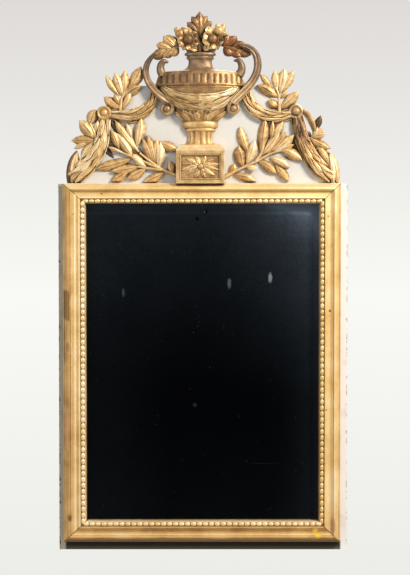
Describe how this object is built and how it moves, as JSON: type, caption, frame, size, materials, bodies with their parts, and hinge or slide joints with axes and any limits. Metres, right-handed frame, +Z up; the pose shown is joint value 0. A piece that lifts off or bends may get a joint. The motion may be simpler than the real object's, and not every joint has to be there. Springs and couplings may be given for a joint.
{
  "type": "wall mirror",
  "caption": "Upright rectangular wall mirror in a gilded moulded and beaded frame, with a pierced carved crest of an urn, garlands and laurel, and hanging rings behind.",
  "frame": {"origin": "middle of the top rail's back face, which lies on the wall", "axes": "+Z up, +Y into the wall, -Y towards the viewer, +X to the viewer's right"},
  "size_m": [0.549, 0.0667, 1.021],
  "materials": {
    "carcass_paint": "worn cream distemper paint on softwood",
    "ground_paint": "cream gesso and paint, stained",
    "backing_wood": "aged bare softwood",
    "peg_wood": "aged bare oak",
    "mirror_glass": "old silvered plate, hazed and specked",
    "wrought_iron": "dark forged iron, lightly rusted",
    "screw_steel": "dull steel wood screws",
    "gilding": "water gilding over bole on carved wood",
    "worn_gilding": "rubbed gilding with bole and wood showing"
  },
  "bodies": {
    "frame": {"backboard_left": "backing_wood", "backboard_middle": "backing_wood", "backboard_nails": "wrought_iron", "backboard_right": "backing_wood", "batten_screws": "screw_steel", "bead_strip_bottom": "gilding", "bead_strip_left": "gilding", "bead_strip_right": "gilding", "bead_strip_top": "gilding", "bouquet_flower_left": "gilding", "bouquet_flower_right": "gilding", "bouquet_leaves_left": "gilding", "bouquet_leaves_right": "gilding", "bouquet_top_leaf": "gilding", "carcass_bottom_rail": "carcass_paint", "carcass_left_stile": "carcass_paint", "carcass_pegs": "peg_wood", "carcass_right_stile": "carcass_paint", "carcass_top_rail": "carcass_paint", "corner_leaf_left": "gilding", "corner_leaf_right": "gilding", "crest_batten_left": "backing_wood", "crest_batten_right": "backing_wood", "crest_dowels": "peg_wood", "crest_panel": "ground_paint", "garland_button_left": "worn_gilding", "garland_button_right": "worn_gilding", "garland_drop_left": "worn_gilding", "garland_drop_right": "worn_gilding", "garland_upper_left": "worn_gilding", "garland_upper_right": "worn_gilding", "glazing_blocks": "backing_wood", "hanger_plate_left": "wrought_iron", "hanger_plate_right": "wrought_iron", "hanger_screws": "screw_steel", "laurel_branch_left": "gilding", "laurel_branch_right": "gilding", "mirror_plate": "mirror_glass", "moulding_bottom": "gilding", "moulding_left": "gilding", "moulding_right": "gilding", "moulding_top": "gilding", "outer_leaves_left": "gilding", "outer_leaves_right": "worn_gilding", "pedestal": "gilding", "pedestal_rosette": "gilding", "upper_spray_left": "gilding", "upper_spray_right": "gilding", "urn_body": "gilding", "urn_bowl": "gilding", "urn_foot": "gilding", "urn_handle_left": "worn_gilding", "urn_handle_right": "worn_gilding", "urn_horn_left": "worn_gilding", "urn_horn_right": "worn_gilding", "urn_neck": "worn_gilding", "urn_swag": "gilding"},
    "ring_left": {"hanger_ring_left": "wrought_iron"},
    "ring_right": {"hanger_ring_right": "wrought_iron"}
  },
  "joints": [
    {"name": "ring_hinge_left", "type": "hinge", "parent": "frame", "child": "ring_left", "pos_m": [-0.14999, -0.0072, 0.08], "axis": [1, 0, 0], "range_deg": [0, 160]},
    {"name": "ring_hinge_right", "type": "hinge", "parent": "frame", "child": "ring_right", "pos_m": [0.14999, -0.0072, 0.08], "axis": [1, 0, 0], "range_deg": [0, 160]}
  ]
}
